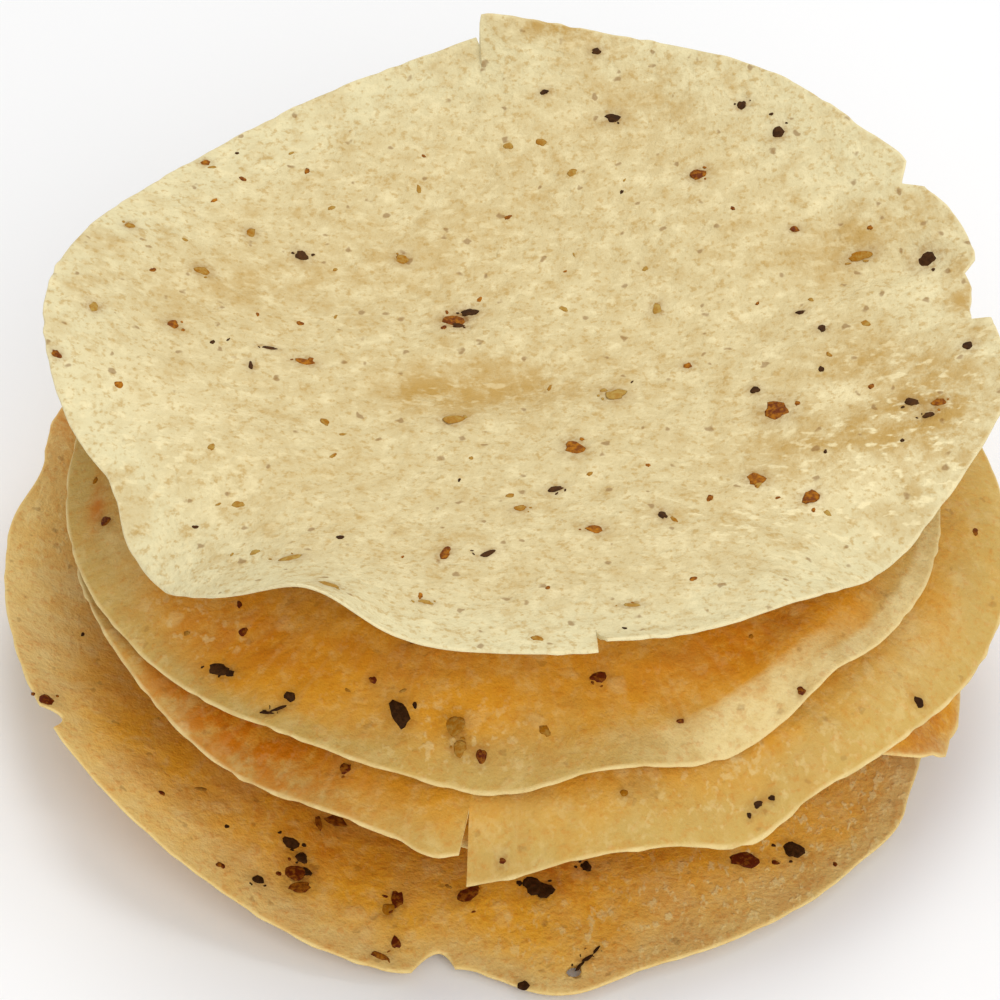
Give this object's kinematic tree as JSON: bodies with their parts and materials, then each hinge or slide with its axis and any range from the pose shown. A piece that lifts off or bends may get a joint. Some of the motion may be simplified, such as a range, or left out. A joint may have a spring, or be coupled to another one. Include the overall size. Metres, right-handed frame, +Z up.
{
  "type": "stack of fried papadums",
  "caption": "Stack of thin crisp fried papadums with wavy rims, a torn top sheet and dark spice flecks, lying as served.",
  "frame": {"origin": "middle of the stack's box, on the floor it lies on", "axes": "+Z up through the stack, -Y towards the front as pictured, +X to the right of the front"},
  "size_m": [0.1814, 0.1818, 0.0762],
  "materials": {
    "crisp_amber": "fried dough, amber, finely blistered, lightly oily",
    "crisp_golden": "fried dough, golden, finely blistered, lightly oily",
    "crisp_pale": "fried dough, pale cream, finely blistered, matt",
    "black_spice": "cracked black pepper, dry, rough",
    "brown_spice": "toasted cumin and husk, reddish brown, dry",
    "green_spice": "softened herb and husk under the crust, olive"
  },
  "bodies": {
    "root": {"papadum_bottom": "crisp_amber", "papadum_fourth": "crisp_amber", "papadum_third": "crisp_golden", "papadum_second": "crisp_golden", "papadum_top": "crisp_pale"}
  },
  "joints": []
}
